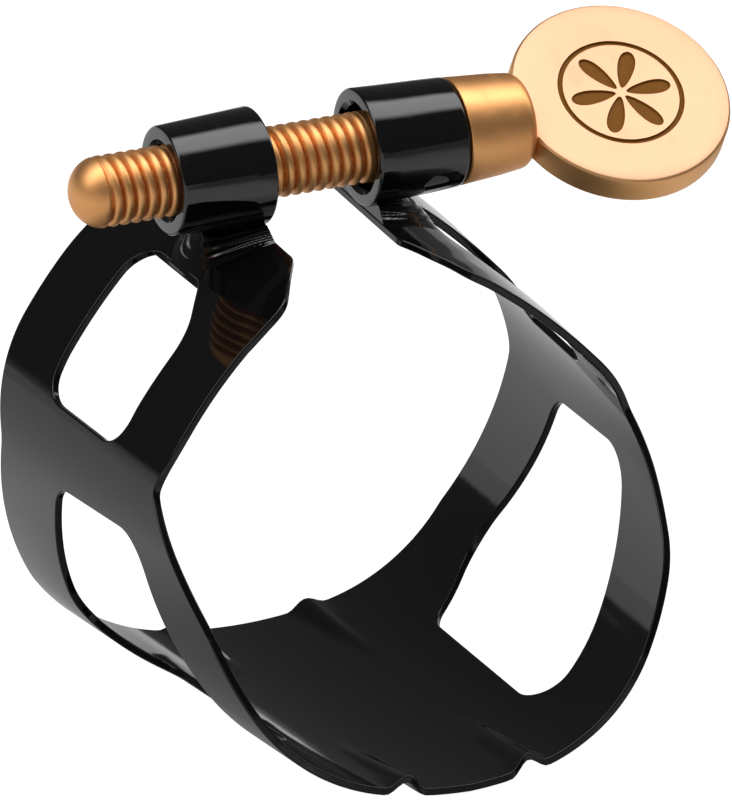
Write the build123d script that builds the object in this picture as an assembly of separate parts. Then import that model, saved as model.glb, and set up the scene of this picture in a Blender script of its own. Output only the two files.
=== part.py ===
from build123d import *
import math
import os

# Ligature for an alto saxophone mouthpiece, in millimetres.
# The bore axis is Y and its narrow, tip-side rim is at -Y.  The clamp screw runs
# along X above the bore, with its thumb disc at +X.  +Z is up, away from the reed.
# The origin is on the bore axis, half-way between the two rims of the reed plate.

# ---- sheet-metal band ----
SHEET = 0.40                # thickness of the brass sheet
BAND_LENGTH = 27.0          # rim to rim at the reed plate
TAPER = 0.05                # growth of every bend radius per mm towards +Y
SEAT_DROP = 13.43           # outer face of the reed plate below the bore axis
# bends of the outer face from the middle of the reed plate up to one arm's end,
# each as (radius, angle turned in degrees)
BENDS = [(22.0, 11.5), (9.75, 47.5), (16.5, 27.0), (7.8, 45.5), (27.0, 14.5), (8.0, 25.5)]
RAIL_SPREAD = 3.4           # each pressed rail's distance from the centre line
RAIL_RADIUS = 1.10          # pressed rail's radius where it runs out at a rim
RAIL_LENGTH = 8.5           # from the rim to where it fades into the plate
SPLIT_HEIGHT = 0.9          # height of the cut at the right waist
SPLIT_GAP = 0.3

# ---- screw and barrels ----
SCREW_Y = 4.7               # the screw sits towards the wide rim
SCREW_R = 1.75              # thread's crest radius, for a 3.5 mm screw
PITCH = 0.6
THREAD_DEPTH = 0.33
THREAD_CLEARANCE = 0.06     # crest to the threaded barrel's wall, on the radius
BARREL_WALL = 0.80          # plain barrel's wall at the face beside the gap
BARREL_TAPER = 0.21         # loss of radius from that face to the other one
BARREL_LENGTH = 4.85
BARREL_LIFT = 0.02          # between a barrel and the tip of its arm, filled with braze
GAP = 5.33                  # between the two barrels
JOURNAL_STEP = 0.35         # plain barrel's bore over the crest radius
JOURNAL_CLEARANCE = 0.06
JOURNAL_LENGTH = 3.2
TIP_REACH = 12.3            # middle of the gap to the screw's domed tip
COLLAR_STEP = 0.05          # collar's edge inside the barrel's outer edge
COLLAR_TAPER = 0.28
COLLAR_LENGTH = 3.75
THRUST_GAP = 0.10           # collar to plain barrel
BRAZE_WIDTH = 4.4
BRAZE_REACH = 2.6           # from the arm's end along the barrel

# ---- thumb disc ----
DISC_RADIUS = 5.47
DISC_THICKNESS = 1.64
DISC_BEVEL = 0.18
DISC_BITE = 0.35            # how far the disc's edge is let into the collar
DISC_LEAN = 33.0            # disc's lean about the screw at rest
ROSETTE_RADIUS = 3.15
ENGRAVING = 0.12

HALF = BAND_LENGTH / 2
ARM_END = GAP / 2
BARREL_END = ARM_END + BARREL_LENGTH
COLLAR_START = BARREL_END + THRUST_GAP
COLLAR_END = COLLAR_START + COLLAR_LENGTH
JOURNAL_BORE = SCREW_R + JOURNAL_STEP
BARREL_RADIUS = JOURNAL_BORE + BARREL_WALL
BARREL_OUTER_RADIUS = BARREL_RADIUS - BARREL_TAPER
COLLAR_RADIUS = BARREL_OUTER_RADIUS - COLLAR_STEP
COLLAR_END_RADIUS = COLLAR_RADIUS - COLLAR_TAPER


def bend_points(grow):
    """Corner points, mid-arc points and headings of the bends, each radius plus grow."""
    x = 0.0
    z = -SEAT_DROP - grow
    heading = 0.0
    points = [(x, z)]
    middles = []
    for radius, turn in BENDS:
        r = radius + grow
        for part in (0.5, 1.0):
            new = heading + math.radians(turn) * part
            px = x + r * (math.sin(new) - math.sin(heading))
            pz = z - r * (math.cos(new) - math.cos(heading))
            if part == 0.5:
                middles.append((px, pz))
        points.append((px, pz))
        x = px
        z = pz
        heading = new
    return points, middles


def section(y):
    """Closed outline of the sheet where it crosses the plane at y."""
    edges = []
    ends = []
    for grow in (TAPER * y, TAPER * y - SHEET):
        points, middles = bend_points(grow)
        for side in (-1, 1):
            for i, mid in enumerate(middles):
                a = points[i]
                b = points[i + 1]
                trio = [Vector(side * p[0], y, p[1]) for p in (a, mid, b)]
                edges.append(Edge.make_three_point_arc(*trio))
        ends.append(points[-1])
    for side in (-1, 1):
        a = Vector(side * ends[0][0], y, ends[0][1])
        b = Vector(side * ends[1][0], y, ends[1][1])
        edges.append(Edge.make_line(a, b))
    return Wire.combine(edges, tol=1e-4)[0]


def rounded(points):
    """Face of a closed outline given as (across, along, corner radius)."""
    n = len(points)
    edges = []
    joints = []
    for i in range(n):
        p = Vector(points[i][0], points[i][1])
        before = Vector(points[i - 1][0], points[i - 1][1]) - p
        after = Vector(points[(i + 1) % n][0], points[(i + 1) % n][1]) - p
        radius = points[i][2]
        if radius == 0:
            joints.append((p, p, p))
            continue
        half = math.radians(before.get_angle(after)) / 2
        setback = radius / math.tan(half)
        start = p + before.normalized() * setback
        end = p + after.normalized() * setback
        bisector = (before.normalized() + after.normalized()).normalized()
        centre = p + bisector * (radius / math.sin(half))
        joints.append((start, centre - bisector * radius, end))
    for i in range(n):
        start, mid, end = joints[i]
        if start != end:
            edges.append(Edge.make_three_point_arc(start, mid, end))
        follow = joints[(i + 1) % n][0]
        if (follow - end).length > 1e-6:
            edges.append(Edge.make_line(end, follow))
    return Face(Wire.combine(edges, tol=1e-5)[0])


def window_cut(points, angle, side):
    """Cutter for one window, square to the sheet at the given angle from the reed plate."""
    out = Vector(side * math.sin(math.radians(angle)), 0, -math.cos(math.radians(angle)))
    plane = Plane(origin=(0, 0, 0), x_dir=(0, 1, 0), z_dir=out)
    up = plane.y_dir
    flip = 1 if up.Z > 0 else -1
    outline = [(y, flip * w, r) for w, y, r in points]
    face = plane.from_local_coords(rounded(outline))
    return extrude(face, amount=24, dir=out)


# The side view of the band: wide at the reed plate, a sharp waist in the near rim
# half-way up, a shallow one in the far rim, and an arm that leans towards +Y.
SIDE_VIEW = [
    (-HALF - 1, -16, 0), (HALF + 1, -16, 0), (HALF + 1, -12.6, 0), (HALF - 0.1, -9.0, 9),
    (10.7, -0.6, 1.6), (13.2, 8.2, 6), (13.2, 16, 0), (-4.15, 16, 0), (-4.15, 8.0, 0),
    (-5.3, 3.9, 3), (-4.95, 1.75, 0.5), (-10.4, -3.9, 5), (-12.9, -12.2, 3), (-HALF - 1, -13.9, 0),
]
# Window outlines as (up the sheet, along Y, corner radius) about each window's middle.
LOWER_WINDOW = [(-6.6, -7.6, 1.7), (6.3, -3.7, 2.4), (6.3, 4.7, 1.7), (-2.4, 8.9, 3.4), (-6.6, 5.9, 1.8)]
UPPER_WINDOW = [(-4.75, -0.8, 1.5), (1.6, 0.2, 3.5), (3.9, 2.8, 1.2), (3.9, 8.6, 1.5), (-4.75, 6.9, 1.5)]
LOWER_ANGLE = 57.0
UPPER_ANGLE = 123.0


def make_band():
    sheet = Solid.make_loft([section(-HALF), section(HALF)], ruled=True)
    side = Plane.YZ.from_local_coords(rounded(SIDE_VIEW))
    sheet = sheet & extrude(side, amount=30, both=True)
    # the ears are trimmed from above: near corner and far corner of each arm's end
    for s in (-1, 1):
        ear = rounded([
            (s * (ARM_END - 1), -6, 0), (s * 7.0, -6, 0), (s * 7.0, -4.15, 0),
            (s * 5.0, -3.75, 2), (s * ARM_END, 0.3, 1), (s * ARM_END, 6, 0), (s * (ARM_END - 1), 6, 0)])
        sheet = sheet - extrude(Plane.XY.offset(8.2).from_local_coords(ear), amount=5, dir=(0, 0, 1))
        far = rounded([
            (s * (ARM_END - 1), 8, 0), (s * ARM_END, 8, 0), (s * ARM_END, 13.2, 2.2),
            (s * 7.0, 13.2, 0), (s * 7.0, 16, 0), (s * (ARM_END - 1), 16, 0)])
        sheet = sheet - extrude(Plane.XY.offset(8.2).from_local_coords(far), amount=5, dir=(0, 0, 1))
        for outline, angle in ((LOWER_WINDOW, LOWER_ANGLE), (UPPER_WINDOW, UPPER_ANGLE)):
            sheet = sheet - window_cut(outline, angle, s)
    # two rails pressed inwards at each rim, fading towards the middle of the plate
    for s in (-1, 1):
        for rim in (-1, 1):
            y = rim * HALF
            floor = -SEAT_DROP - TAPER * y + RAIL_SPREAD ** 2 / 2 / BENDS[0][0]
            slope = math.atan(TAPER) * rim
            seat = Plane(origin=(s * RAIL_SPREAD, y, floor), x_dir=(1, 0, 0),
                         z_dir=(0, -rim * math.cos(slope), math.sin(slope)))
            ridge = seat * (Pos(0, 0, RAIL_LENGTH / 2) * Cone(RAIL_RADIUS, 0.15, RAIL_LENGTH))
            groove = seat * (Pos(0, 0, RAIL_LENGTH / 2 - 1) * Cone(RAIL_RADIUS - SHEET, 0.02,
                                                                 RAIL_LENGTH + 1))
            above = Pos(s * RAIL_SPREAD, y - rim * RAIL_LENGTH / 2, floor + 5) * Box(4, RAIL_LENGTH, 10)
            sheet = sheet + (ridge & above) - groove
    return sheet


def barrel(side, bore):
    """One tapered barrel on the screw's axis, its wide face beside the gap."""
    r0 = BARREL_RADIUS
    r1 = BARREL_OUTER_RADIUS
    a = ARM_END
    b = BARREL_END
    c = 0.25
    outline = Polyline((a, bore + c), (a, r0 - c), (a + c, r0), (b - c, r1), (b, r1 - c),
                       (b, bore + c), (b - c, bore), (a + c, bore), close=True)
    body = revolve(make_face(outline), Axis.X, 360)
    if side < 0:
        body = mirror(body, Plane.YZ)
    return Pos(0, SCREW_Y, SCREW_Z) * body


# the barrels stand on the arms' ends
SCREW_Z = bend_points(TAPER * SCREW_Y)[0][-1][1] + BARREL_RADIUS + BARREL_LIFT


def braze(side, band, tube):
    """Silver-brazed fillet that fills the wedge between a barrel and its arm."""
    middle = Pos(side * (ARM_END + BRAZE_REACH / 2), SCREW_Y, SCREW_Z)
    under = BARREL_RADIUS + 0.1
    fillet = middle * Pos(0, 0, -under) * Box(BRAZE_REACH, BRAZE_WIDTH, 2.6)
    # hollow flanks and a hollow end, tangent to the barrel and to the arm
    for s in (-1, 1):
        flank = middle * Pos(0, s * (BRAZE_WIDTH / 2 + 0.9), 0.7 - under) * Rot(0, 90, 0)
        fillet = fillet - flank * Cylinder(1.45, BRAZE_REACH + 1)
    end = Pos(side * (ARM_END + BRAZE_REACH + 0.45), SCREW_Y, SCREW_Z - BARREL_RADIUS - 0.6)
    fillet = fillet - end * Rot(90, 0, 0) * Cylinder(0.9, BRAZE_WIDTH * 2)
    core = middle * Rot(0, 90, 0) * Cylinder(BARREL_RADIUS - 0.9, BRAZE_REACH + 4)
    fillet = fillet - core - band - tube
    # nothing is left inside the bore of the band
    inner = Solid.make_loft([inner_section(-HALF), inner_section(HALF)], ruled=True)
    fillet = fillet - inner
    return sorted(fillet.solids(), key=lambda q: q.volume)[-1]


def inner_section(y):
    """Everything under the sheet's outer face at the plane y, closed across the arms."""
    points, middles = bend_points(TAPER * y)
    edges = []
    for side in (-1, 1):
        for i, mid in enumerate(middles):
            trio = [Vector(side * p[0], y, p[1]) for p in (points[i], mid, points[i + 1])]
            edges.append(Edge.make_three_point_arc(*trio))
    a = points[-1]
    edges.append(Edge.make_line(Vector(-a[0], y, a[1]), Vector(a[0], y, a[1])))
    return Wire.combine(edges, tol=1e-4)[0]


def make_screw():
    """Turned screw: domed tip, threaded shank, relief, journal and collar, in one piece."""
    core = SCREW_R - THREAD_DEPTH
    relief = core + 0.1
    tip = -TIP_REACH
    dome_length = 1.55
    thread_end = ARM_END + 0.15
    ring = 0.5                      # plain ring between the thread and the relief
    journal = JOURNAL_BORE - JOURNAL_CLEARANCE
    journal_start = COLLAR_START - JOURNAL_LENGTH
    edge = 0.12                     # bevel on the collar's thrust face
    turns = int((thread_end - (tip + dome_length)) / PITCH)
    first = thread_end - turns * PITCH
    teeth = []
    for i in range(turns):
        x = first + i * PITCH
        teeth += [(x + PITCH * 0.10, core), (x + PITCH * 0.44, SCREW_R),
                  (x + PITCH * 0.56, SCREW_R), (x + PITCH * 0.90, core)]
    with BuildPart() as rod:
        with BuildSketch(Plane.XY):
            with BuildLine():
                dome = ThreePointArc((tip, 0), (tip + dome_length * 0.31, SCREW_R * 0.663),
                                     (tip + dome_length, SCREW_R - 0.08))
                Polyline(dome @ 1, (first, core), *teeth, (thread_end, core), (thread_end, SCREW_R),
                         (thread_end + ring, SCREW_R), (thread_end + ring + 0.2, relief),
                         (journal_start, relief), (journal_start, journal),
                         (COLLAR_START, journal), (COLLAR_START, COLLAR_RADIUS - edge),
                         (COLLAR_START + edge, COLLAR_RADIUS))
                flank = Line((COLLAR_START + edge, COLLAR_RADIUS),
                             (COLLAR_END - 0.75, COLLAR_END_RADIUS + 0.06))
                nose = ThreePointArc(flank @ 1, (COLLAR_END - 0.18, COLLAR_END_RADIUS - 0.22),
                                     (COLLAR_END, COLLAR_END_RADIUS - 0.8))
                Polyline(nose @ 1, (COLLAR_END, 0), (tip, 0))
            make_face()
        revolve(axis=Axis.X)
    return Pos(0, SCREW_Y, SCREW_Z) * rod.part


def make_disc():
    """Thumb disc with a bevelled edge and an engraved six-petal rosette."""
    x = COLLAR_END - DISC_BITE + DISC_RADIUS
    disc = Cylinder(DISC_RADIUS, DISC_THICKNESS)
    disc = chamfer(disc.edges().filter_by(GeomType.CIRCLE), DISC_BEVEL)
    with BuildSketch() as motif:
        Circle(ROSETTE_RADIUS)
        Circle(ROSETTE_RADIUS - 0.23, mode=Mode.SUBTRACT)
        with PolarLocations(0, 6):
            with Locations((ROSETTE_RADIUS * 0.45, 0)):
                Ellipse(ROSETTE_RADIUS * 0.365, ROSETTE_RADIUS * 0.114)
    cut = Pos(0, 0, DISC_THICKNESS / 2 - ENGRAVING) * extrude(motif.sketch, amount=1)
    disc = disc - cut
    return Pos(x, SCREW_Y, SCREW_Z) * Rot(DISC_LEAN, 0, 0) * disc


os.makedirs("parts", exist_ok=True)

band = make_band()
left_barrel = barrel(-1, SCREW_R + THREAD_CLEARANCE)
right_barrel = barrel(1, JOURNAL_BORE)
left_braze = braze(-1, band, left_barrel)
right_braze = braze(1, band, right_barrel)
screw = make_screw()
disc = make_disc()
screw = screw - disc

# the spring of the sheet at the right waist is drawn as a cut across the sheet
upper = Pos(15, 0, SPLIT_HEIGHT + 10) * Box(30, 60, 20)
lower = Pos(15, 0, SPLIT_HEIGHT - SPLIT_GAP + 10) * Box(30, 60, 20)
band_arm = band & upper
band_seat = band - lower

nodes = {
    "band_seat": band_seat, "band_arm": band_arm, "barrel_threaded": left_barrel,
    "barrel_plain": right_barrel, "braze_threaded": left_braze, "braze_plain": right_braze,
    "screw": screw, "thumb_disc": disc,
}
for name, shape in nodes.items():
    export_step(shape, "parts/" + name + ".step")
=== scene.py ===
import math
import bmesh
import bpy
import numpy as np
from mathutils import Matrix, Vector
from mathutils.geometry import delaunay_2d_cdt


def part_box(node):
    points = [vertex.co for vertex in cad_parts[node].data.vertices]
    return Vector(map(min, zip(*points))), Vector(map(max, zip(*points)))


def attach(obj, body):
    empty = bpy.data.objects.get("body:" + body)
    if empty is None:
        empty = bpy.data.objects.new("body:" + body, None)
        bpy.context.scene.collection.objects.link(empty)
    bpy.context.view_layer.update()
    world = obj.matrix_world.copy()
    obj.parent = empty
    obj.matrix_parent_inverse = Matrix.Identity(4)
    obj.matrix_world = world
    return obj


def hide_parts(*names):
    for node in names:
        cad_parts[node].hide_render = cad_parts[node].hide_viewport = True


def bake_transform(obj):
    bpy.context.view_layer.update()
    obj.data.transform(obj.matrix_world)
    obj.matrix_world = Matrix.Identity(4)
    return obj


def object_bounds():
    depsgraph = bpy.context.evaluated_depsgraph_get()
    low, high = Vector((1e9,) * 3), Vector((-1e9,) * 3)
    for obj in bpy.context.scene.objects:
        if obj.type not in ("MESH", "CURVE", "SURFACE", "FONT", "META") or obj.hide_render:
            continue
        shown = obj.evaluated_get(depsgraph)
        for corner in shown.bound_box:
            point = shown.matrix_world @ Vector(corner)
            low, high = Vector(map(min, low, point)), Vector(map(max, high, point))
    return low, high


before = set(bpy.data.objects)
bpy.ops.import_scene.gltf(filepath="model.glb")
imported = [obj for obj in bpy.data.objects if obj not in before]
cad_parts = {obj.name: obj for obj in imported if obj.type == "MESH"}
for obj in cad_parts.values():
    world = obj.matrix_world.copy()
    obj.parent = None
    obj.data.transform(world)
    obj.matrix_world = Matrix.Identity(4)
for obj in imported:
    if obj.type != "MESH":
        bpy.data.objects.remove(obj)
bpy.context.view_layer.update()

MM = 0.001


# ---------------------------------------------------------------- the band
# The band is one blank of 0.4 mm brass sheet.  It is cut out flat with its four
# windows, pressed with two rails at each rim, bent round a tapered former and
# dipped in black lacquer.  Its right side springs when the screw is turned, but here
# the band is built as one fixed mesh.

SHEET = 0.40
HALF_LENGTH = 13.5              # half of the reed plate, rim to rim
TAPER = 0.05                    # growth of every bend radius per mm towards +Y
SEAT_DROP = 13.43               # outer face of the reed plate below the bore axis
BENDS = [(22.0, 11.5), (9.75, 47.5), (16.5, 27.0), (7.8, 45.5), (27.0, 14.5), (8.0, 25.5)]
ARM_END = 2.665                 # half of the gap between the barrels
RAIL_SPREAD = 3.4
RAIL_HEIGHT = 0.72
FAR_RAIL_HEIGHT = 0.48
RAIL_LENGTH = 8.5
EDGE_ROUND = 0.09               # lacquered edge of the sheet
GRID = 0.42                     # mesh spacing inside the sheet
EDGE_STEP = 0.24                # mesh spacing along a cut edge
# windows: (up the sheet, along the bore, corner radius), square to the sheet at an angle
LOWER_WINDOW = [(-6.6, -7.6, 1.7), (6.3, -3.7, 2.4), (6.3, 4.7, 1.7), (-2.4, 8.9, 3.4), (-6.6, 5.9, 1.8)]
UPPER_WINDOW = [(-4.75, -0.8, 1.5), (1.6, 0.2, 3.5), (3.9, 2.8, 1.2), (3.9, 8.6, 1.5), (-4.75, 6.9, 1.5)]
LOWER_ANGLE = 57.0
UPPER_ANGLE = 123.0
BLACK = (0.0022, 0.0022, 0.0024, 1)
EDGE_HIGHLIGHT_BLACK = (0.012, 0.0115, 0.011, 1)  # painted highlight: the lighter black laid along the cut edges

bend_start = [0.0]
bend_heading = [0.0]
bend_x = [0.0]
bend_z = [-SEAT_DROP]
for radius, turn in BENDS:
    h0 = bend_heading[-1]
    h1 = h0 + math.radians(turn)
    bend_start.append(bend_start[-1] + radius * (h1 - h0))
    bend_heading.append(h1)
    bend_x.append(bend_x[-1] + radius * (math.sin(h1) - math.sin(h0)))
    bend_z.append(bend_z[-1] - radius * (math.cos(h1) - math.cos(h0)))
ARM_LENGTH = bend_start[-1]     # from the middle of the reed plate to an arm's end
bend_start, bend_heading, bend_x, bend_z = (
    np.array(v[:-1]) for v in (bend_start, bend_heading, bend_x, bend_z))
bend_radius = np.array([radius for radius, turn in BENDS])


def smooth(t):
    """Soft step that rises from 0 to 1 as t does."""
    t = np.clip(t, 0, 1)
    return t * t * (3 - 2 * t)


def rail_height(s, y):
    """How far the sheet is pressed inwards at a place on the flat blank."""
    run = (HALF_LENGTH - np.abs(y)) / RAIL_LENGTH
    fade = np.clip(1 - run, 0, 1) ** 1.35
    across = np.clip(np.abs(np.abs(s) - RAIL_SPREAD) / (0.35 + 0.75 * fade), 0, 1)
    height = np.where(np.asarray(y) > 0, FAR_RAIL_HEIGHT, RAIL_HEIGHT)
    return height * fade * (0.5 + 0.5 * np.cos(math.pi * across)) * (run < 1)


def hand_work(s, y):
    """Slight dents left in the ears where the barrels were brazed on."""
    ear = smooth((np.abs(s) - ARM_LENGTH + 5.0) / 2.5) * smooth((2.6 - y) / 2.0)
    wave = np.sin(1.5 * s + 0.8 * y) * np.sin(1.1 * y - 0.5 * s + 1.0)
    wave = wave + 0.4 * np.sin(2.6 * y + 1.4 * s)
    return 0.016 * ear * wave


def bent(s, y, depth):
    """Point of the bent sheet in mm: s along the blank, y along the bore, depth under its face."""
    s, y = np.broadcast_arrays(np.asarray(s, float), np.asarray(y, float))
    a = np.abs(s)
    i = np.clip(np.searchsorted(bend_start, a, side="right") - 1, 0, len(BENDS) - 1)
    heading = bend_heading[i] + (a - bend_start[i]) / bend_radius[i]
    x = bend_x[i] + bend_radius[i] * (np.sin(heading) - np.sin(bend_heading[i]))
    z = bend_z[i] - bend_radius[i] * (np.cos(heading) - np.cos(bend_heading[i]))
    grow = TAPER * y - depth - rail_height(s, y) - hand_work(s, y)
    side = np.where(s < 0, -1.0, 1.0)
    return np.stack([side * (x + grow * np.sin(heading)), y, z - grow * np.cos(heading)], -1)


def tangents(s, y):
    """Directions along the blank and along the bore, and the outward normal."""
    h = 0.01
    along = bent(s + h, y, 0) - bent(s - h, y, 0)
    bore = bent(s, y + h, 0) - bent(s, y - h, 0)
    out = np.cross(bore, along)
    return [v / np.linalg.norm(v, axis=-1, keepdims=True) for v in (along, bore, out)]


def rounded(points, closed):
    """Dense outline through (a, b, corner radius) points with rounded corners."""
    n = len(points)
    out = []
    for i, (a, b, r) in enumerate(points):
        p = np.array([a, b], float)
        if r == 0 or (not closed and i in (0, n - 1)):
            out.append(p)
            continue
        u = np.array(points[i - 1][:2]) - p
        v = np.array(points[(i + 1) % n][:2]) - p
        u = u / np.linalg.norm(u)
        v = v / np.linalg.norm(v)
        half = math.acos(np.clip(u @ v, -1, 1)) / 2
        middle = p + (u + v) / np.linalg.norm(u + v) * r / math.sin(half)
        first = p + u * r / math.tan(half) - middle
        last = p + v * r / math.tan(half) - middle
        steps = max(4, int((math.pi - 2 * half) * r / EDGE_STEP) + 1)
        for k in range(steps + 1):
            t = k / steps
            d = first * (1 - t) + last * t
            out.append(middle + d / np.linalg.norm(d) * r)
    if closed:
        out.append(out[0])
    return even(np.array(out))


def even(line):
    """The same open line with evenly spaced points."""
    length = np.concatenate([[0], np.cumsum(np.linalg.norm(np.diff(line, axis=0), axis=1))])
    count = max(2, int(round(length[-1] / EDGE_STEP)) + 1)
    at = np.linspace(0, length[-1], count)
    return np.stack([np.interp(at, length, line[:, k]) for k in (0, 1)], -1)


def search(measure, target, low, high):
    """Places on the blank where a rising measure reaches its target, found by halving."""
    low = np.full(len(target), float(low))
    high = np.full(len(target), float(high))
    for halving in range(45):
        mid = (low + high) / 2
        under = measure(mid) < target
        low = np.where(under, mid, low)
        high = np.where(under, high, mid)
    return (low + high) / 2


def from_side(line):
    """Side-view (y, z) line laid out on the blank."""
    y = np.clip(line[:, 0], -HALF_LENGTH, HALF_LENGTH)
    s = search(lambda q: bent(q, y, 0)[:, 2], line[:, 1], 0, ARM_LENGTH)
    return np.stack([s, y], -1)


def from_above(line):
    """Plan-view (x, y) line laid out on the blank, near an arm's end."""
    y = line[:, 1]
    s = search(lambda q: -bent(q, y, 0)[:, 0], -line[:, 0], ARM_LENGTH * 0.7, ARM_LENGTH)
    return np.stack([s, y], -1)


def from_window(line, angle):
    """Window outline laid out on the blank."""
    c = math.cos(math.radians(angle))
    d = math.sin(math.radians(angle))
    low = 0.0 if angle < 90 else ARM_LENGTH * 0.45
    high = ARM_LENGTH * 0.75 if angle < 90 else ARM_LENGTH
    y = line[:, 1]
    s = search(lambda q: bent(q, y, 0)[:, 0] * c + bent(q, y, 0)[:, 2] * d, line[:, 0], low, high)
    return np.stack([s, y], -1)


near_side = from_side(rounded([
    (-14.5, -13.9, 0), (-12.9, -12.2, 3), (-10.4, -3.9, 5), (-4.95, 1.75, 0.5),
    (-5.3, 3.9, 3), (-4.15, 8.0, 0)], False))
near_plan = from_above(rounded([
    (7.0, -4.15, 0), (5.0, -3.75, 2), (ARM_END, 0.3, 1), (ARM_END, 6, 0)], False))
far_plan = from_above(rounded([
    (ARM_END, 6, 0), (ARM_END, 13.2, 2.2), (7.0, 13.2, 0)], False))
far_side = from_side(rounded([
    (13.2, 11.0, 0), (13.2, 8.2, 6), (10.7, -0.6, 1.6), (13.4, -9.0, 9), (14.5, -12.6, 0)], False))
near_side = near_side[near_side[:, 0] < near_plan[0, 0] - 0.15]
far_side = far_side[far_side[:, 0] < far_plan[-1, 0] - 0.15]
half_edge = even(np.concatenate([
    [(0.0, -HALF_LENGTH)], near_side[near_side[:, 0] > 0.05], near_plan, far_plan[1:],
    far_side[far_side[:, 0] > 0.05], [(0.0, HALF_LENGTH)]]))
edges = [np.concatenate([half_edge, half_edge[-2:0:-1] * (-1, 1)])]
for window, angle in ((LOWER_WINDOW, LOWER_ANGLE), (UPPER_WINDOW, UPPER_ANGLE)):
    hole = from_window(rounded(window, True), angle)[:-1]
    area = np.sum(hole[:, 0] * np.roll(hole[:, 1], -1) - np.roll(hole[:, 0], -1) * hole[:, 1])
    if area > 0:
        hole = hole[::-1]
    edges += [hole, hole[::-1] * (-1, 1)]


def left_of(loop):
    """Unit normals on the left of a closed loop's direction."""
    run = np.roll(loop, -1, 0) - np.roll(loop, 1, 0)
    run = run / np.linalg.norm(run, axis=1, keepdims=True)
    return np.stack([-run[:, 1], run[:, 0]], -1)


def inside(points, loop):
    """Which points lie inside a closed loop."""
    a = loop
    b = np.roll(loop, -1, 0)
    y = points[:, 1:2]
    crosses = (a[:, 1] > y) != (b[:, 1] > y)
    run = np.where(b[:, 1] == a[:, 1], 1e-12, b[:, 1] - a[:, 1])
    x = a[:, 0] + (y - a[:, 1]) * (b[:, 0] - a[:, 0]) / run
    return (np.sum(crosses & (points[:, 0:1] < x), 1) % 2) == 1


def fill(loops, spacing):
    """Points and triangles that fill the first loop and leave the others open."""
    low = loops[0].min(0)
    high = loops[0].max(0)
    grid = np.stack(np.meshgrid(np.arange(low[0] + spacing / 2, high[0], spacing),
                                np.arange(low[1] + spacing / 2, high[1], spacing)), -1).reshape(-1, 2)
    keep = inside(grid, loops[0])
    for loop in loops[1:]:
        keep &= ~inside(grid, loop)
    grid = grid[keep]
    rim = np.concatenate(loops)
    near = np.array([np.min(np.sum((rim - g) ** 2, 1)) for g in grid])
    grid = grid[near > (spacing * 0.55) ** 2]
    points = np.concatenate([rim, grid])
    lines = []
    base = 0
    for loop in loops:
        n = len(loop)
        lines += [(base + k, base + (k + 1) % n) for k in range(n)]
        base += n
    result = delaunay_2d_cdt([Vector(p) for p in points], lines, [], 0, 1e-7)
    origin = [o[0] for o in result[3]]
    faces = np.array([[origin[k] for k in f] for f in result[2]])
    centre = points[faces].mean(1)
    keep = inside(centre, loops[0])
    for loop in loops[1:]:
        keep &= ~inside(centre, loop)
    return points, faces[keep]


def piece(name, points, faces, material, normals=None, sharp=None):
    """A Blender object from points in mm, its faces turned outwards."""
    mesh = bpy.data.meshes.new(name)
    corners = [tuple(p * MM) for p in np.asarray(points, float)]
    mesh.from_pydata(corners, [], [tuple(map(int, f)) for f in faces])
    work = bmesh.new()
    work.from_mesh(mesh)
    bmesh.ops.recalc_face_normals(work, faces=work.faces)
    work.to_mesh(mesh)
    work.free()
    mesh.shade_smooth()
    if sharp is not None:
        mesh.set_sharp_from_angle(angle=math.radians(sharp))
    if normals is not None:
        mesh.normals_split_custom_set_from_vertices([tuple(n) for n in normals])
    made = bpy.data.objects.new(name, mesh)
    bpy.context.scene.collection.objects.link(made)
    mesh.materials.append(material)
    return made


def node(tree, kind, inputs=None, **settings):
    """A shader node with its settings, and its inputs set or linked."""
    made = tree.nodes.new(kind)
    for key, value in settings.items():
        setattr(made, key, value)
    for key, value in (inputs or {}).items():
        if isinstance(value, bpy.types.NodeSocket):
            tree.links.new(value, made.inputs[key])
        else:
            made.inputs[key].default_value = value
    return made


def group(name, sockets):
    """A new node group with its named sockets: name, kind, and default for an input."""
    tree = bpy.data.node_groups.new(name, "ShaderNodeTree")
    for label, kind, default in sockets:
        side = "OUTPUT" if default is None else "INPUT"
        made = tree.interface.new_socket(label, in_out=side, socket_type=kind)
        if default is not None:
            made.default_value = default
    given = tree.nodes.new("NodeGroupInput").outputs
    result = tree.nodes.new("NodeGroupOutput").inputs
    return tree, given, result


# handling marks, which every finish on this part has: hair scratches that run all
# ways, and a soft haze where fingers and cloth have been
marks, given, result = group("handling_marks", [
    ("Scratch Scale", "NodeSocketFloat", 900.0), ("Haze Scale", "NodeSocketFloat", 180.0),
    ("Scratches", "NodeSocketFloat", None), ("Haze", "NodeSocketFloat", None)])
place = node(marks, "ShaderNodeTexCoord").outputs["Object"]
total = None
for turn, stretch in ((0.4, 0.035), (1.5, 0.05), (2.6, 0.03)):
    turned_place = node(marks, "ShaderNodeMapping", {
        "Vector": place, "Rotation": (turn, turn * 1.7, turn * 0.6), "Scale": (1.0, stretch, 1.0)})
    hair = node(marks, "ShaderNodeTexNoise", {
        "Vector": turned_place.outputs[0], "Scale": given["Scratch Scale"],
        "Detail": 1.0, "Roughness": 0.4})
    line = node(marks, "ShaderNodeMapRange", {
        "Value": hair.outputs["Fac"], "From Min": 0.66, "From Max": 0.74},
        interpolation_type="SMOOTHSTEP")
    if total is None:
        total = line.outputs[0]
    else:
        total = node(marks, "ShaderNodeMath", {0: total, 1: line.outputs[0]},
                     operation="MAXIMUM").outputs[0]
marks.links.new(total, result["Scratches"])
cloud = node(marks, "ShaderNodeTexNoise", {
    "Vector": place, "Scale": given["Haze Scale"], "Detail": 3.0, "Roughness": 0.55, "Distortion": 0.6})
haze = node(marks, "ShaderNodeMapRange", {
    "Value": cloud.outputs["Fac"], "From Min": 0.35, "From Max": 0.7}, interpolation_type="SMOOTHSTEP")
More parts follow.
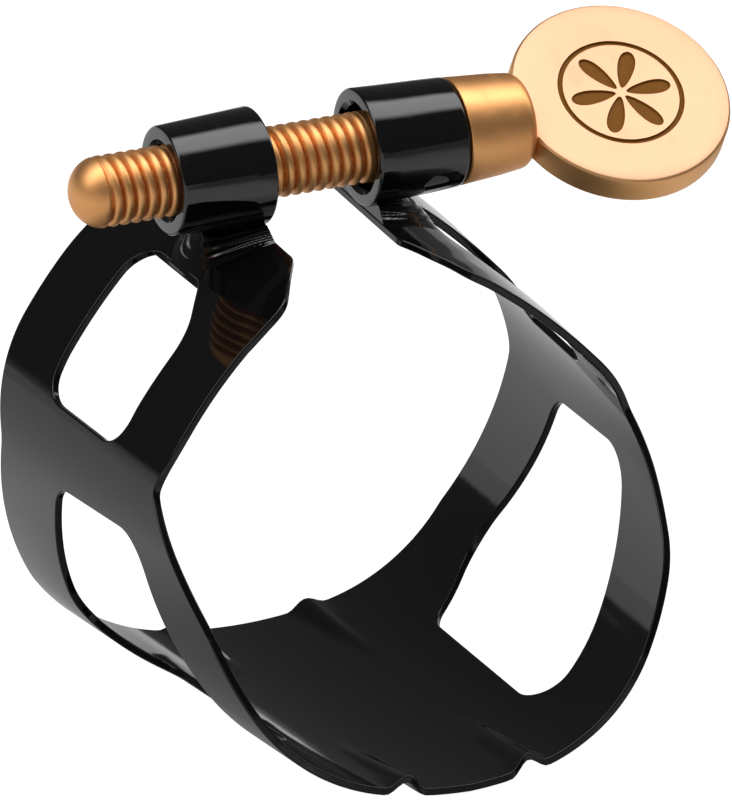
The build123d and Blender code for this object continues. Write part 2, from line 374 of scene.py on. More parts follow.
marks.links.new(haze.outputs[0], result["Haze"])


def finish(name):
    """A new material, its tree and its Principled shader."""
    made = bpy.data.materials.new(name)
    made.use_nodes = True
    return made, made.node_tree, made.node_tree.nodes["Principled BSDF"]


def lacquer(name, gloss):
    """Deep gloss black with a faint orange peel, and a painted highlight that makes it a
    little lighter along the cut edges.  The gloss is the lacquer's index of refraction."""
    made, tree, shader = finish(name)
    worn = node(tree, "ShaderNodeGroup", {"Scratch Scale": 700.0, "Haze Scale": 220.0}, node_tree=marks)
    place = node(tree, "ShaderNodeTexCoord").outputs["Object"]
    # painted highlight: convex edges, found by pointiness, are tinted lighter
    edge = node(tree, "ShaderNodeMapRange", {
        "Value": node(tree, "ShaderNodeNewGeometry").outputs["Pointiness"],
        "From Min": 0.56, "From Max": 0.68}, interpolation_type="SMOOTHSTEP")
    edge_highlight_tint = node(tree, "ShaderNodeMix", {
        "Factor": edge.outputs[0], "A": BLACK, "B": EDGE_HIGHLIGHT_BLACK}, data_type="RGBA")
    tree.links.new(edge_highlight_tint.outputs["Result"], shader.inputs["Base Color"])
    rough = node(tree, "ShaderNodeMapRange", {
        "Value": worn.outputs["Haze"], "To Min": 0.045, "To Max": 0.075})
    scratched = node(tree, "ShaderNodeMath", {
        0: worn.outputs["Scratches"], 1: 0.10, 2: rough.outputs[0]}, operation="MULTIPLY_ADD")
    tree.links.new(scratched.outputs[0], shader.inputs["Roughness"])
    peel = node(tree, "ShaderNodeTexNoise", {
        "Vector": place, "Scale": 750.0, "Detail": 2.0, "Roughness": 0.45})
    relief = node(tree, "ShaderNodeBump", {
        "Strength": 0.05, "Distance": 0.00004, "Height": peel.outputs["Fac"]})
    tree.links.new(relief.outputs[0], shader.inputs["Normal"])
    shader.inputs["IOR"].default_value = gloss
    return made


black_lacquer = lacquer("black_lacquer", 1.35)      # one thin dip on the sheet

inset = [loop + left_of(loop) * EDGE_ROUND for loop in edges]
blank, blank_faces = fill(inset, GRID)
out = tangents(blank[:, 0], blank[:, 1])[2]
count = len(blank)
points = [bent(blank[:, 0], blank[:, 1], 0), bent(blank[:, 0], blank[:, 1], SHEET)]
normals = [out, -out]
faces = list(blank_faces) + list(blank_faces + count)
base = 2 * count
first = 0
for loop in edges:
    n = len(loop)
    lean = left_of(loop)
    along, bore, out = tangents(loop[:, 0], loop[:, 1])
    cut = -(lean[:, 0:1] * along + lean[:, 1:2] * bore)
    rings = [first + np.arange(n)]
    for face, a in ((1, 45), (1, 90), (-1, 90), (-1, 45)):
        c = math.cos(math.radians(a))
        d = math.sin(math.radians(a))
        at = loop + lean * EDGE_ROUND * (1 - d)
        under = EDGE_ROUND * (1 - c)
        points.append(bent(at[:, 0], at[:, 1], under if face > 0 else SHEET - under))
        normals.append(out * c * face + cut * d)
        rings.append(base + np.arange(n))
        base += n
    rings.append(count + first + np.arange(n))
    for a, b in zip(rings[:-1], rings[1:]):
        faces += [(a[k], a[(k + 1) % n], b[(k + 1) % n], b[k]) for k in range(n)]
    first += n
band = piece("band", np.concatenate(points), faces, black_lacquer,
             normals=np.concatenate(normals))
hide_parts("band_seat", "band_arm")
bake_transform(band)


# ---------------------------------------------------------------- the barrels
# Two short brass tubes, turned with a slight taper and softly broken lips.  The left
# one is tapped for the screw and the right one is bored plain for its journal.
# They are brazed to the ears and lacquered together with the band.

low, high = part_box("barrel_threaded")
SCREW_Y = (low.y + high.y) / 2 / MM
SCREW_Z = (low.z + high.z) / 2 / MM
BARREL_RADIUS = (high.z - low.z) / 2 / MM
BARREL_OUTER = BARREL_RADIUS - 0.21     # at the end away from the gap
BARREL_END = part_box("barrel_plain")[1].x / MM
LIP = 0.15
SCREW_CREST = 1.75              # radius over the thread
TAPPED_BORE = SCREW_CREST + 0.06
PLAIN_BORE = 2.10
COUNTERSINK = 0.22


def turned(name, outline, closed, material, sides=96, sharp=32, mirrored=False, radius=None):
    """A turned piece about the screw's axis from its (x, radius) outline.  A closed outline
    makes a tube, and radius is a function that shapes the turning as it goes round."""
    outline = np.asarray(outline, float)
    n = len(outline)
    angle = np.arange(sides) * 2 * math.pi / sides
    x = np.repeat(outline[:, 0:1], sides, 1)
    r = np.repeat(outline[:, 1:2], sides, 1) if radius is None else radius(outline, angle)
    if mirrored:
        x = -x
    ring = np.stack([x, SCREW_Y + r * np.cos(angle), SCREW_Z + r * np.sin(angle)], -1).reshape(-1, 3)
    made = []
    for i in range(n if closed else n - 1):
        a = i * sides
        b = (i + 1) % n * sides
        made += [(a + k, a + (k + 1) % sides, b + (k + 1) % sides, b + k) for k in range(sides)]
    if not closed:
        made.append(tuple(range(sides)))
        made.append(tuple(range((n - 1) * sides, n * sides)))
    return piece(name, ring, made, material, sharp=sharp)


def lip(x, r, dx, dr, size, steps=5):
    """Quarter-round corner at (x, r) that leads from the end face round to the side."""
    corner = []
    for k in range(steps + 1):
        a = k / steps * math.pi / 2
        corner.append((x + dx * size * (1 - math.sin(a)), r + dr * size * (1 - math.cos(a))))
    return corner


barrel_lacquer = lacquer("barrel_lacquer", 1.54)    # it gathers thicker on the barrels

for name, bore_radius, mirrored, cad_node, body in (
        ("barrel_left", TAPPED_BORE, True, "barrel_threaded", "seat"),
        ("barrel_right", PLAIN_BORE, False, "barrel_plain", "arm")):
    outline = lip(ARM_END, BARREL_RADIUS, 1, -1, LIP)[::-1]
    for t in (0.25, 0.5, 0.75):
        outline.append((ARM_END + t * (BARREL_END - ARM_END),
                        BARREL_RADIUS - t * (BARREL_RADIUS - BARREL_OUTER)))
    outline += lip(BARREL_END, BARREL_OUTER, -1, -1, LIP)
    outline += [(BARREL_END, bore_radius + COUNTERSINK), (BARREL_END - COUNTERSINK, bore_radius),
                ((ARM_END + BARREL_END) / 2, bore_radius),
                (ARM_END + COUNTERSINK, bore_radius), (ARM_END, bore_radius + COUNTERSINK)]
    tube = turned(name, outline, True, barrel_lacquer, mirrored=mirrored)
    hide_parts(cad_node)
    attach(tube, body)


# ---------------------------------------------------------------- the braze
# Silver braze fills the wedge between each barrel and its ear.  It froze in ripples
# and ran out thinly over the ear, and the lacquer covers it.

FULL_GAP = 0.95                 # wedge filled right up to the barrel
THIN_GAP = 2.1                  # where the braze runs out
THIN_START = FULL_GAP * 0.55
BITE = 0.12                     # how far it runs into the barrel's skin
SUNK = 0.14                     # how far its edge is sunk in the sheet
BRAZE_FLOOR = 0.22              # its underside, within the sheet
BRAZE_REACH = 4.4               # back along the arm from its end
BRAZE_SPREAD = 3.1              # each way along the bore from the screw

reach = np.linspace(ARM_LENGTH - BRAZE_REACH, ARM_LENGTH - 0.05, 76)
spread = np.linspace(SCREW_Y - BRAZE_SPREAD, SCREW_Y + BRAZE_SPREAD, 110)
for name, side, cad_node, body in (
        ("braze_left", -1, "braze_threaded", "seat"), ("braze_right", 1, "braze_plain", "arm")):
    s, y = np.meshgrid(side * reach, spread, indexing="ij")
    face = bent(s, y, 0)
    out = tangents(s, y)[2]
    off = np.clip(np.abs(y - SCREW_Y) / BARREL_RADIUS, 0, 0.999)
    under = SCREW_Z - BARREL_RADIUS * np.sqrt(1 - off ** 2)
    gap = under - face[..., 2] + 0.35 * smooth((np.abs(face[..., 0]) - 6.0) / 1.5)
    full = np.minimum(gap + BITE, FULL_GAP + BITE)
    thin = np.clip((gap - THIN_START) / (THIN_GAP - THIN_START), 0, 1)
    height = full * (1 - thin) ** 2.2
    ripple = 0.028 * np.sin(gap * 25.0 + 1.2 * np.sin(face[..., 0] * 1.1))
    ripple *= smooth(height / 0.25) * smooth((FULL_GAP + 0.25 - height) / 0.3)
    lumps = 0.012 * (np.sin(2.1 * s + 1.3 * y) + np.sin(1.7 * y - 2.6 * s + 0.7))
    height = height + ripple + lumps * smooth((gap - 0.6) / 0.8) * smooth((2.6 - gap) / 1.2)
    height = height - SUNK * smooth((gap - 1.7) / 0.8)
    rim = np.minimum(np.arange(len(reach))[:, None], np.arange(len(spread))[None, :])
    rim = np.minimum(rim, (len(spread) - 1 - np.arange(len(spread)))[None, :])
    height = np.where(rim < 2, -SUNK, height)
    top = face + out * height[..., None]
    floor = face - out * BRAZE_FLOOR
    n, m = s.shape
    points = np.concatenate([top.reshape(-1, 3), floor.reshape(-1, 3)])
    faces = []
    for i in range(n - 1):
        for j in range(m - 1):
            a = i * m + j
            faces.append((a, a + 1, a + m + 1, a + m))
            faces.append((a + n * m, a + m + n * m, a + m + 1 + n * m, a + 1 + n * m))
    around = [i * m for i in range(n)] + [(n - 1) * m + j for j in range(1, m)]
    around += [i * m + m - 1 for i in range(n - 2, -1, -1)] + [j for j in range(m - 2, 0, -1)]
    for a, b in zip(around, around[1:] + around[:1]):
        faces.append((a, b, b + n * m, a + n * m))
    fillet = piece(name, points, faces, barrel_lacquer, sharp=60)
    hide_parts(cad_node)
    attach(fillet, body)


# ---------------------------------------------------------------- the screw
# One turning in brass: a domed tip, an M3.5 x 0.6 thread, a relief, the journal that
# runs in the right barrel and a tapered collar.  It is gold-plated and polished.

PITCH = 0.6
THREAD_DEPTH = 0.33
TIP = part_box("screw")[0].x / MM
DOME = 1.55
THREAD_END = ARM_END + 0.15
RELIEF = 1.52
JOURNAL = 2.04
JOURNAL_LENGTH = 3.2
COLLAR_START = BARREL_END + 0.10
COLLAR_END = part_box("screw")[1].x / MM
COLLAR_RADIUS = 2.64
COLLAR_NOSE = 2.36
GOLD = (0.73, 0.37, 0.145, 1)
HANDLED_GOLD = (0.70, 0.345, 0.13, 1)
# painted shade for the roots of the thread
ROOT_SHADE_GOLD = (0.44, 0.23, 0.09, 1)

gold_plate, tree, shader = finish("gold_plate")
worn = node(tree, "ShaderNodeGroup", {"Scratch Scale": 1100.0, "Haze Scale": 260.0}, node_tree=marks)
place = node(tree, "ShaderNodeTexCoord").outputs["Object"]
tone = node(tree, "ShaderNodeMix", {
    "Factor": worn.outputs["Haze"], "A": GOLD, "B": HANDLED_GOLD}, data_type="RGBA")
# painted shade: the roots of the thread are darkened, and a little rougher
where = node(tree, "ShaderNodeSeparateXYZ", {"Vector": place})
off_y = node(tree, "ShaderNodeMath", {0: where.outputs["Y"], 1: SCREW_Y * MM}, operation="SUBTRACT")
off_z = node(tree, "ShaderNodeMath", {0: where.outputs["Z"], 1: SCREW_Z * MM}, operation="SUBTRACT")
off_axis = node(tree, "ShaderNodeCombineXYZ", {"X": off_y.outputs[0], "Y": off_z.outputs[0]})
from_axis = node(tree, "ShaderNodeVectorMath", {0: off_axis.outputs[0]}, operation="LENGTH")
root = node(tree, "ShaderNodeMapRange", {
    "Value": from_axis.outputs["Value"], "From Min": (SCREW_CREST - THREAD_DEPTH) * MM,
    "From Max": (SCREW_CREST - THREAD_DEPTH * 0.35) * MM, "To Min": 1.0, "To Max": 0.0},
    interpolation_type="SMOOTHSTEP")
shank = node(tree, "ShaderNodeMath", {0: where.outputs["X"], 1: BARREL_END * MM}, operation="LESS_THAN")
past_dome = node(tree, "ShaderNodeMath", {0: where.outputs["X"], 1: (TIP + DOME) * MM},
                 operation="GREATER_THAN")
in_thread = node(tree, "ShaderNodeMath", {0: shank.outputs[0], 1: past_dome.outputs[0]},
                 operation="MULTIPLY")
root_shade = node(tree, "ShaderNodeMath", {0: root.outputs[0], 1: in_thread.outputs[0]}, operation="MULTIPLY")
root_shade = node(tree, "ShaderNodeMath", {0: root_shade.outputs[0], 1: 0.16}, operation="MULTIPLY")
colour = node(tree, "ShaderNodeMix", {
    "Factor": root_shade.outputs[0], "A": tone.outputs["Result"], "B": ROOT_SHADE_GOLD}, data_type="RGBA")
tree.links.new(colour.outputs["Result"], shader.inputs["Base Color"])
rough = node(tree, "ShaderNodeMapRange", {
    "Value": worn.outputs["Haze"], "To Min": 0.44, "To Max": 0.48})
rough = node(tree, "ShaderNodeMath", {
    0: worn.outputs["Scratches"], 1: 0.05, 2: rough.outputs[0]}, operation="MULTIPLY_ADD")
rough = node(tree, "ShaderNodeMath", {0: root_shade.outputs[0], 1: 0.16, 2: rough.outputs[0]},
             operation="MULTIPLY_ADD")
tree.links.new(rough.outputs[0], shader.inputs["Roughness"])
# the tool left fine rings along the turning
stretched = node(tree, "ShaderNodeMapping", {"Vector": place, "Scale": (14000.0, 60.0, 60.0)})
rings = node(tree, "ShaderNodeTexNoise", {
    "Vector": stretched.outputs[0], "Scale": 1.0, "Detail": 2.0, "Roughness": 0.6})
relief = node(tree, "ShaderNodeBump", {
    "Strength": 0.12, "Distance": 0.00003, "Height": rings.outputs["Fac"]})
tree.links.new(relief.outputs[0], shader.inputs["Normal"])
shader.inputs["Metallic"].default_value = 1.0


def threaded(outline, angle):
    """Radius round the turning, with the helical thread cut into the shank."""
    x = outline[:, 0:1]
    r = np.repeat(outline[:, 1:2], len(angle), 1)
    turn = x / PITCH - angle[None, :] / (2 * math.pi)
    phase = np.abs(turn - np.round(turn)) * 2
    cut = THREAD_DEPTH * phase ** 2.8
    depth = smooth((x - TIP - DOME * 0.82) / 0.25) * smooth((THREAD_END - x) / 0.2)
    return r - cut * depth


outline = []
for k in range(1, 19):
    a = k / 18 * math.pi / 2
    outline.append((TIP + DOME * (1 - math.cos(a)), SCREW_CREST * math.sin(a)))
outline += [(x, SCREW_CREST) for x in np.arange(TIP + DOME + 0.03, THREAD_END, PITCH / 18)]
outline += [(THREAD_END, SCREW_CREST), (THREAD_END + 0.46, SCREW_CREST),
            (THREAD_END + 0.50, SCREW_CREST - 0.04), (THREAD_END + 0.62, RELIEF),
            (COLLAR_START - JOURNAL_LENGTH, RELIEF), (COLLAR_START - JOURNAL_LENGTH, JOURNAL),
            (COLLAR_START, JOURNAL)]
outline += lip(COLLAR_START, COLLAR_RADIUS, 1, -1, 0.10)[::-1]
slope = (COLLAR_RADIUS - COLLAR_NOSE) / (COLLAR_END - COLLAR_START)
outline += [(COLLAR_START + t, COLLAR_RADIUS - slope * t) for t in (0.8, 1.5, 2.2)]
outline += lip(COLLAR_END, COLLAR_NOSE, -1, -1, 0.62, 9)
outline += [(COLLAR_END, 0.8)]
screw = turned("screw_turning", outline, False, gold_plate,
               sides=108, sharp=38, radius=threaded)
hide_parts("screw")
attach(screw, "thumb_screw")


# ---------------------------------------------------------------- the thumb disc
# A disc of 1.6 mm brass, let into the collar's nose and soldered.  Its faces are
# lapped to a satin, its rim is turned, and a six-petal rosette is engraved in the
# middle and filled with dark brown enamel.

DISC_RADIUS = 5.47
DISC_THICKNESS = 1.64
DISC_ROUND = 0.26
DISC_LEAN = math.radians(33.0)
DISC_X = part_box("thumb_disc")[1].x / MM - DISC_RADIUS
ENGRAVING = 0.11                # depth of the rosette
WALL = 0.05                     # run of the engraving's sloping walls
ROSETTE = 3.15                  # radius over its ring
RING_WIDTH = 0.26
PETALS = 6
RIM_SIDES = 144                 # points round each outline of the disc's mesh
RING_SIDES = 120
INNER_SIDES = 110
PETAL_SIDES = 40
# the faces get a paler gold than the rim, a painted highlight for the bright reflection they take
LIT_FACE_GOLD = (0.71, 0.425, 0.265, 1)
HANDLED_LIT_FACE_GOLD = (0.70, 0.417, 0.257, 1)
RIM_GOLD = (0.74, 0.40, 0.16, 1)
DARK_ENAMEL = (0.15, 0.055, 0.005, 1)
LIGHT_ENAMEL = (0.20, 0.078, 0.009, 1)

disc_plate, tree, shader = finish("disc_plate")
worn = node(tree, "ShaderNodeGroup", {"Scratch Scale": 800.0, "Haze Scale": 130.0}, node_tree=marks)
place = node(tree, "ShaderNodeTexCoord").outputs["Object"]
local = node(tree, "ShaderNodeMapping", {
    "Vector": place, "Location": (-DISC_X * MM, -SCREW_Y * MM, -SCREW_Z * MM)})
local = node(tree, "ShaderNodeMapping", {"Vector": local.outputs[0], "Rotation": (-DISC_LEAN, 0, 0)})
split = node(tree, "ShaderNodeSeparateXYZ", {"Vector": local.outputs[0]})
across = node(tree, "ShaderNodeCombineXYZ", {"X": split.outputs["X"], "Y": split.outputs["Y"]})
radial = node(tree, "ShaderNodeVectorMath", {0: across.outputs[0]}, operation="LENGTH")
wall = node(tree, "ShaderNodeMapRange", {
    "Value": radial.outputs["Value"],
    "From Min": (DISC_RADIUS - 0.20) * MM, "From Max": (DISC_RADIUS - 0.02) * MM},
    interpolation_type="SMOOTHSTEP")
# painted highlight: the faces are paler than the rim
lit_face_tone = node(tree, "ShaderNodeMix", {
    "Factor": worn.outputs["Haze"], "A": LIT_FACE_GOLD, "B": HANDLED_LIT_FACE_GOLD}, data_type="RGBA")
tone = node(tree, "ShaderNodeMix", {
    "Factor": wall.outputs[0], "A": lit_face_tone.outputs["Result"], "B": RIM_GOLD}, data_type="RGBA")
tree.links.new(tone.outputs["Result"], shader.inputs["Base Color"])
rough = node(tree, "ShaderNodeMapRange", {
    "Value": worn.outputs["Haze"], "To Min": 0.57, "To Max": 0.59})
rough = node(tree, "ShaderNodeMath", {
    0: worn.outputs["Scratches"], 1: 0.03, 2: rough.outputs[0]}, operation="MULTIPLY_ADD")
smoothed = node(tree, "ShaderNodeMath", {0: wall.outputs[0], 1: -0.12, 2: rough.outputs[0]},
                operation="MULTIPLY_ADD")
tree.links.new(smoothed.outputs[0], shader.inputs["Roughness"])
# fine rings left by the lathe
round_and_up = node(tree, "ShaderNodeCombineXYZ", {"X": radial.outputs["Value"], "Z": split.outputs["Z"]})
lapping = node(tree, "ShaderNodeTexNoise", {
    "Vector": round_and_up.outputs[0], "Scale": 9000.0, "Detail": 2.0, "Roughness": 0.6})
relief = node(tree, "ShaderNodeBump", {
    "Strength": 0.10, "Distance": 0.00002, "Height": lapping.outputs["Fac"]})
tree.links.new(relief.outputs[0], shader.inputs["Normal"])
shader.inputs["Metallic"].default_value = 1.0

brown_enamel, tree, shader = finish("brown_enamel")
place = node(tree, "ShaderNodeTexCoord").outputs["Object"]
grit = node(tree, "ShaderNodeTexNoise", {"Vector": place, "Scale": 2600.0, "Detail": 3.0})
tone = node(tree, "ShaderNodeMix", {
    "Factor": grit.outputs["Fac"], "A": DARK_ENAMEL, "B": LIGHT_ENAMEL}, data_type="RGBA")
tree.links.new(tone.outputs["Result"], shader.inputs["Base Color"])
rough = node(tree, "ShaderNodeMapRange", {"Value": grit.outputs["Fac"], "To Min": 0.42, "To Max": 0.62})
tree.links.new(rough.outputs[0], shader.inputs["Roughness"])
relief = node(tree, "ShaderNodeBump", {
    "Strength": 0.25, "Distance": 0.00002, "Height": grit.outputs["Fac"]})
tree.links.new(relief.outputs[0], shader.inputs["Normal"])
shader.inputs["IOR"].default_value = 1.15


def round_loop(radius, sides):
    """Points evenly round a circle."""
    a = np.arange(sides) * 2 * math.pi / sides
    return np.stack([radius * np.cos(a), radius * np.sin(a)], -1)


def petal(turn, grow):
    """One petal's outline, grown by a little on every side."""
    a = np.arange(PETAL_SIDES) * 2 * math.pi / PETAL_SIDES
    x = ROSETTE * 0.46 + (ROSETTE * 0.37 + grow) * np.cos(a)
    y = (ROSETTE * 0.13 + grow) * np.sin(a) * (1 + 0.35 * np.cos(a))
    c = math.cos(turn)
    d = math.sin(turn)
    return np.stack([x * c - y * d, x * d + y * c], -1)


def laid():
    """How many points the disc has so far."""
    return sum(len(part) for part in points)


def lay(loops, height, engraved):
    """Adds a flat area at one height, open where the later loops are, and gives each
    loop's first point."""
    start = laid()
    flat, triangles = fill(loops, 0.55)
    points.append(np.column_stack([flat, np.full(len(flat), height)]))
    faces.extend(triangles + start)
    brown.extend([engraved] * len(triangles))
    return start + np.cumsum([0] + [len(loop) for loop in loops[:-1]])


def bridge(a, b, n, engraved=False):
    """Joins two loops of n points, whose first points are a and b, by a wall."""
    for k in range(n):
        faces.append((a + k, a + (k + 1) % n, b + (k + 1) % n, b + k))
        brown.append(engraved)


TOP = DISC_THICKNESS / 2
DEEP = TOP - ENGRAVING
rim = round_loop(DISC_RADIUS - DISC_ROUND, RIM_SIDES)
tops = [round_loop(ROSETTE, RING_SIDES), round_loop(ROSETTE - RING_WIDTH, INNER_SIDES)]
floors = [round_loop(ROSETTE - WALL, RING_SIDES), round_loop(ROSETTE - RING_WIDTH + WALL, INNER_SIDES)]
for k in range(PETALS):
    tops.append(petal(k * 2 * math.pi / PETALS, 0.0))
    floors.append(petal(k * 2 * math.pi / PETALS, -WALL))
points = []
faces = []
brown = []                      # which faces carry the enamel
outer = lay([rim, tops[0]], TOP, False)
ring_floor = lay([floors[0], floors[1]], DEEP, True)
middle = lay([tops[1]] + tops[2:], TOP, False)
bridge(outer[1], ring_floor[0], RING_SIDES, True)
bridge(middle[0], ring_floor[1], INNER_SIDES, True)
for k in range(PETALS):
    petal_floor = lay([floors[2 + k]], DEEP, True)
    bridge(middle[1 + k], petal_floor[0], PETAL_SIDES, True)
last = outer[0]
under = lay([rim], -TOP, False)
for face, steps in ((1, (1, 2, 3)), (-1, (3, 2, 1))):
    for k in steps:
        a = k / 3 * math.pi / 2
        ring = round_loop(DISC_RADIUS - DISC_ROUND * (1 - math.sin(a)), RIM_SIDES)
        height = face * (TOP - DISC_ROUND * (1 - math.cos(a)))
        bridge(last, laid(), RIM_SIDES)
        last = laid()
        points.append(np.column_stack([ring, np.full(RIM_SIDES, height)]))
bridge(last, under[0], RIM_SIDES)
lean = np.array(Matrix.Rotation(DISC_LEAN, 3, "X"))
disc_middle = np.array([DISC_X, SCREW_Y, SCREW_Z])
disc = piece("thumb_disc_plate", np.concatenate(points) @ lean.T + disc_middle, faces,
             disc_plate, sharp=24)
disc.data.materials.append(brown_enamel)
for polygon, engraved in zip(disc.data.polygons, brown):
    polygon.material_index = 1 if engraved else 0
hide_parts("thumb_disc")
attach(disc, "thumb_screw")


# ---------------------------------------------------------------- the solder
# A bead of soft solder on each side of the disc, where its edge enters the collar.
# It ran in along the joint, thicker in the middle, and is gold-plated with the screw.

BEAD_SIDES = 40                 # steps along the joint
BEAD_ROWS = 9                   # points across each bead
BEAD_HALF = 1.75                # half of its length
BEAD_SIZE = 0.34

bead_points = []
bead_faces = []
for face in (1, -1):
    base = len(bead_points)
    spine = base + (BEAD_SIDES + 1) * BEAD_ROWS
    buried = []
    for i in range(BEAD_SIDES + 1):
        along = (i / BEAD_SIDES - 0.5) * 2
        swell = 1 + 0.18 * math.sin(along * 7 + face) * (1 - along * along)
        for j in range(BEAD_ROWS):
            a = j / (BEAD_ROWS - 1)
            wide = BEAD_SIZE * (1 - a) ** 2 + 0.02
            tall = BEAD_SIZE * a ** 2 + 0.02
            x = COLLAR_END - 0.10 + wide * swell * (1 - 0.55 * along * along)
            z = face * (TOP - 0.06 + tall * swell * (1 - 0.45 * along * along))
            bead_points.append((x - DISC_X, BEAD_HALF * along, z))
        buried.append((COLLAR_END - 0.25 - DISC_X, BEAD_HALF * along, face * (TOP - 0.2)))
    bead_points += buried
    for i in range(BEAD_SIDES):
        a = base + i * BEAD_ROWS
        b = a + BEAD_ROWS
        for j in range(BEAD_ROWS - 1):
            bead_faces.append((a + j, a + j + 1, b + j + 1, b + j))
        bead_faces.append((a, b, spine + i + 1, spine + i))
        bead_faces.append((b - 1, spine + i, spine + i + 1, b + BEAD_ROWS - 1))
    for i in (0, BEAD_SIDES):
        a = base + i * BEAD_ROWS
        bead_faces.append([a + j for j in range(BEAD_ROWS)] + [spine + i])
bead = piece("solder_bead", np.array(bead_points) @ lean.T + disc_middle, bead_faces,
             gold_plate, sharp=50)
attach(bead, "thumb_screw")


# ---------------------------------------------------------------- the studio
# A pale table that runs out to a low white wall, dark surroundings above it, and one
# large soft box overhead.

TABLE_RADIUS = 6.0
PAPER = (0.10, 0.10, 0.10, 1)
PAPER_FIBRE = (0.12, 0.12, 0.12, 1)
BOX_LIGHT = 3.8
SURROUND_LIGHT = 0.10

table_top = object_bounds()[0].z - 0.02 * MM
floor_mesh = bpy.data.meshes.new("table")
work = bmesh.new()
bmesh.ops.create_circle(work, cap_ends=True, radius=TABLE_RADIUS, segments=96)
work.to_mesh(floor_mesh)
work.free()
table = bpy.data.objects.new("table", floor_mesh)
table.location = (0, 0, table_top)
bpy.context.scene.collection.objects.link(table)
paper, tree, shader = finish("table_paper")
fibres = node(tree, "ShaderNodeTexNoise", {"Scale": 900.0, "Detail": 4.0})
tone = node(tree, "ShaderNodeMix", {
    "Factor": fibres.outputs["Fac"], "A": PAPER, "B": PAPER_FIBRE}, data_type="RGBA")
tree.links.new(tone.outputs["Result"], shader.inputs["Base Color"])
shader.inputs["Roughness"].default_value = 0.9
shader.inputs["Specular IOR Level"].default_value = 0.0
# the table looks plain white, but what the part reflects of it is less bright, in the
# part's own soft shadow close by and in shade towards the right
place = node(tree, "ShaderNodeTexCoord").outputs["Object"]
across = node(tree, "ShaderNodeSeparateXYZ", {"Vector": place})
shade = node(tree, "ShaderNodeMapRange", {
    "Value": across.outputs["X"], "From Min": 0.02, "From Max": 0.10, "To Min": 0.78, "To Max": 0.16},
    interpolation_type="SMOOTHSTEP")
away = node(tree, "ShaderNodeVectorMath", {0: place}, operation="LENGTH")
shadow = node(tree, "ShaderNodeMapRange", {
    "Value": away.outputs["Value"], "From Min": 0.012, "From Max": 0.038, "To Min": 0.22, "To Max": 1.0},
    interpolation_type="SMOOTHSTEP")
shade = node(tree, "ShaderNodeMath", {0: shade.outputs[0], 1: shadow.outputs[0]}, operation="MULTIPLY")
direct = node(tree, "ShaderNodeLightPath").outputs["Is Camera Ray"]
seen = node(tree, "ShaderNodeMath", {0: shade.outputs[0], 1: direct}, operation="MAXIMUM")
tree.links.new(seen.outputs[0], shader.inputs["Emission Color"])
shader.inputs["Emission Strength"].default_value = 1.0
floor_mesh.materials.append(paper)

world = bpy.data.worlds.new("studio")
world.use_nodes = True
tree = world.node_tree
sky = tree.nodes["Background"]
heading = node(tree, "ShaderNodeTexCoord").outputs["Generated"]
split = node(tree, "ShaderNodeSeparateXYZ", {"Vector": heading})
above = node(tree, "ShaderNodeMath", {0: split.outputs["Z"], 1: 0.05}, operation="MAXIMUM")


def box_side(socket, centre, flat, soft):
    """Soft-edged extent of the overhead box along one direction, seen from the part."""
    slope = node(tree, "ShaderNodeMath", {0: socket, 1: above.outputs[0]}, operation="DIVIDE")
    away = node(tree, "ShaderNodeMath", {0: slope.outputs[0], 1: centre}, operation="SUBTRACT")
    away = node(tree, "ShaderNodeMath", {0: away.outputs[0]}, operation="ABSOLUTE")
    return node(tree, "ShaderNodeMapRange", {
        "Value": away.outputs[0], "From Min": flat, "From Max": flat + soft, "To Min": 1.0, "To Max": 0.0},
        interpolation_type="SMOOTHSTEP").outputs[0]


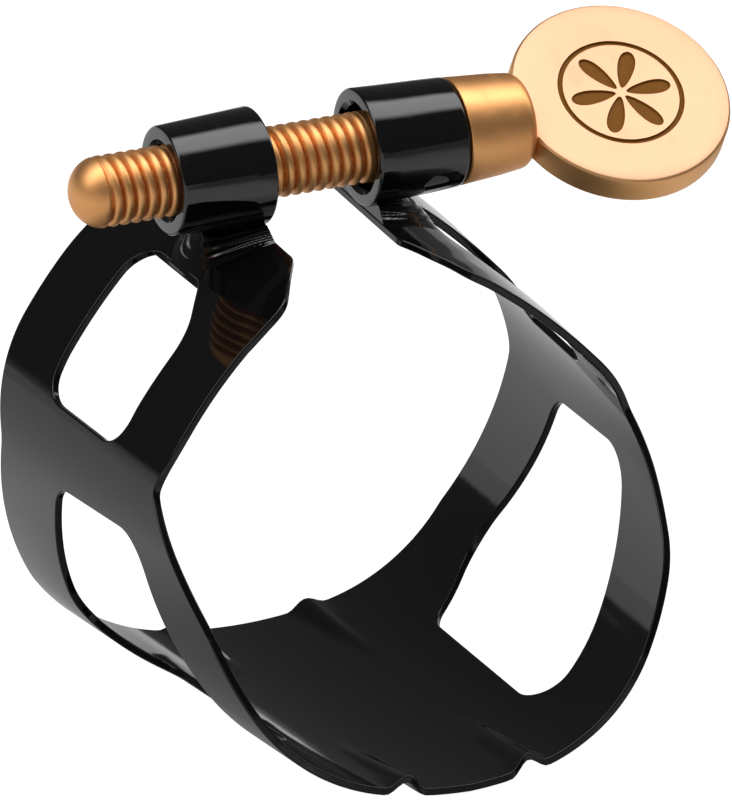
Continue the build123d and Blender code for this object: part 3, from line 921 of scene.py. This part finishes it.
box_length = box_side(split.outputs["X"], 0.30, 1.6, 1.4)
box_width = box_side(split.outputs["Y"], 0.0, 0.22, 0.28)
box = node(tree, "ShaderNodeMath", {0: box_length, 1: box_width}, operation="MULTIPLY")
is_up = node(tree, "ShaderNodeMath", {0: split.outputs["Z"], 1: 0.06}, operation="GREATER_THAN")
box = node(tree, "ShaderNodeMath", {0: box.outputs[0], 1: is_up.outputs[0]}, operation="MULTIPLY")
low_wall = node(tree, "ShaderNodeMapRange", {
    "Value": split.outputs["Z"], "From Min": 0.062, "From Max": 0.072, "To Min": 0.66, "To Max": 0.0})
leftward = node(tree, "ShaderNodeMapRange", {
    "Value": split.outputs["X"], "From Min": 0.15, "From Max": 0.35, "To Min": 1.0, "To Max": 0.0})
wall_white = node(tree, "ShaderNodeMath", {
    0: low_wall.outputs[0], 1: leftward.outputs[0], 2: SURROUND_LIGHT}, operation="MULTIPLY_ADD")
light = node(tree, "ShaderNodeMath", {0: box.outputs[0], 1: BOX_LIGHT, 2: wall_white.outputs[0]},
             operation="MULTIPLY_ADD")
tree.links.new(light.outputs[0], sky.inputs["Color"])
bpy.context.scene.world = world
bpy.context.scene.view_settings.view_transform = "Standard"


# ---------------------------------------------------------------- the camera
# It stands a metre away with a long lens, looks a little down on the screw from the
# front left, and keeps the whole ring in its frame.

AZIMUTH = math.radians(-23.93)
ELEVATION = math.radians(21.06)
ROLL = math.radians(-1.01)
DISTANCE = 1001.5
SENSOR = 36.0
VIEW_HEIGHT = 38.3877           # what the frame takes in at the part, from bottom to top
AIM_X = 0.13
STAND_RIGHT = 2.77              # how far the camera is moved aside and down from the screw
STAND_DOWN = 11.71

back = np.array([math.sin(AZIMUTH) * math.cos(ELEVATION), -math.cos(AZIMUTH) * math.cos(ELEVATION),
                 math.sin(ELEVATION)])
level = np.array([math.cos(AZIMUTH), math.sin(AZIMUTH), 0.0])
upright = np.cross(back, level)
right = math.cos(ROLL) * level + math.sin(ROLL) * upright
up = math.cos(ROLL) * upright - math.sin(ROLL) * level
aim = np.array([AIM_X, SCREW_Y, SCREW_Z])
stand = (DISTANCE * back + STAND_RIGHT * right - STAND_DOWN * up + aim) * MM
lens = bpy.data.cameras.new("camera")
lens.sensor_width = SENSOR
lens.lens = SENSOR * DISTANCE / VIEW_HEIGHT
lens.clip_start = 0.01
lens.clip_end = 20.0
camera = bpy.data.objects.new("camera", lens)
camera.matrix_world = Matrix([
    (right[0], up[0], back[0], stand[0]), (right[1], up[1], back[1], stand[1]),
    (right[2], up[2], back[2], stand[2]), (0, 0, 0, 1)])
bpy.context.scene.collection.objects.link(camera)
bpy.context.scene.camera = camera
